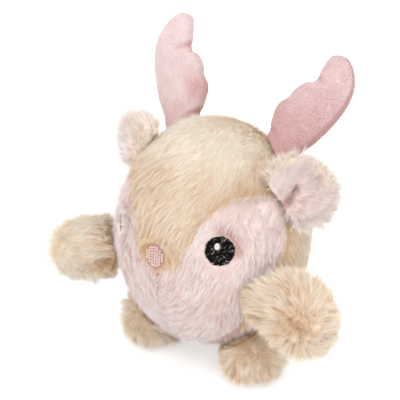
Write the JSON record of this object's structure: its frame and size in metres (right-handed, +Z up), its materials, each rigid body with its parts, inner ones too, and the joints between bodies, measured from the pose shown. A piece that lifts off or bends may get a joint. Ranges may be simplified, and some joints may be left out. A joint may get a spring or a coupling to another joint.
{
  "type": "plush deer",
  "caption": "Round stuffed deer toy with a ball body, pale pink face, flat velvet antlers, cupped ears, stubby arms and stuffed feet with flat soles.",
  "frame": {"origin": "on the floor, under the middle of the ball", "axes": "+Z up, -Y the way the face looks, +X the toy's own left"},
  "size_m": [0.1959, 0.1219, 0.209],
  "materials": {
    "beige_plush": "long cream-beige pile, matt",
    "pink_plush": "long pale pink pile, matt",
    "rose_velvet": "short dusty rose velvet, matt",
    "stuffing": "white polyester fibre",
    "black_thread": "black embroidery thread, slight sheen",
    "white_thread": "white embroidery thread, slight sheen",
    "pink_thread": "pale pink embroidery thread, slight sheen",
    "rose_thread": "dusty rose embroidery thread, slight sheen"
  },
  "bodies": {
    "body": {"stuffing": "stuffing", "crown_cover": "beige_plush", "nose_fill": "pink_thread", "nose_edge": "rose_thread", "cheek_cover_left": "pink_plush", "back_cover_left": "beige_plush", "eye_left": "black_thread", "eye_glint_left": "white_thread", "cheek_cover_right": "pink_plush", "back_cover_right": "beige_plush", "eye_right": "black_thread", "eye_glint_right": "white_thread"},
    "antler_left": {"antler_front_left": "rose_velvet", "antler_back_left": "rose_velvet"},
    "ear_left": {"ear_back_left": "beige_plush", "ear_lining_left": "pink_plush"},
    "arm_left": {"arm_left": "beige_plush"},
    "leg_left": {"leg_left": "beige_plush"},
    "antler_right": {"antler_front_right": "rose_velvet", "antler_back_right": "rose_velvet"},
    "ear_right": {"ear_back_right": "beige_plush", "ear_lining_right": "pink_plush"},
    "arm_right": {"arm_right": "beige_plush"},
    "leg_right": {"leg_right": "beige_plush"}
  },
  "joints": [
    {"name": "antler_left_lean", "type": "hinge", "parent": "body", "child": "antler_left", "pos_m": [0.0385, 0.01, 0.14097], "axis": [-0.6927, 0.4382, 0.5728], "range_deg": [-12, 12], "stiffness_Nm_per_rad": 0.05},
    {"name": "ear_left_fold", "type": "hinge", "parent": "body", "child": "ear_left", "pos_m": [0.04843, -0.00767, 0.12912], "axis": [0.5449, 0.2109, -0.8115], "range_deg": [-20, 20], "stiffness_Nm_per_rad": 0.02},
    {"name": "arm_left_lift", "type": "hinge", "parent": "body", "child": "arm_left", "pos_m": [0.0543, -0.02509, 0.07179], "axis": [-0.4195, -0.9078, 0], "range_deg": [-20, 20], "stiffness_Nm_per_rad": 0.06},
    {"name": "leg_left_swing", "type": "hinge", "parent": "body", "child": "leg_left", "pos_m": [0.03481, -0.00764, 0.02716], "axis": [1, 0, 0], "range_deg": [-15, 15], "stiffness_Nm_per_rad": 0.6},
    {"name": "antler_right_lean", "type": "hinge", "parent": "body", "child": "antler_right", "pos_m": [-0.0355, 0.016, 0.14181], "axis": [-0.7682, -0.2214, -0.6006], "range_deg": [-12, 12], "stiffness_Nm_per_rad": 0.05},
    {"name": "ear_right_fold", "type": "hinge", "parent": "body", "child": "ear_right", "pos_m": [-0.04147, -0.00657, 0.13859], "axis": [0.6677, -0.2584, 0.6982], "range_deg": [-20, 20], "stiffness_Nm_per_rad": 0.02},
    {"name": "arm_right_lift", "type": "hinge", "parent": "body", "child": "arm_right", "pos_m": [-0.0543, -0.02509, 0.07179], "axis": [-0.4195, 0.9078, 0], "range_deg": [-20, 20], "stiffness_Nm_per_rad": 0.06},
    {"name": "leg_right_swing", "type": "hinge", "parent": "body", "child": "leg_right", "pos_m": [-0.03481, -0.00764, 0.02716], "axis": [1, 0, 0], "range_deg": [-15, 15], "stiffness_Nm_per_rad": 0.6}
  ]
}
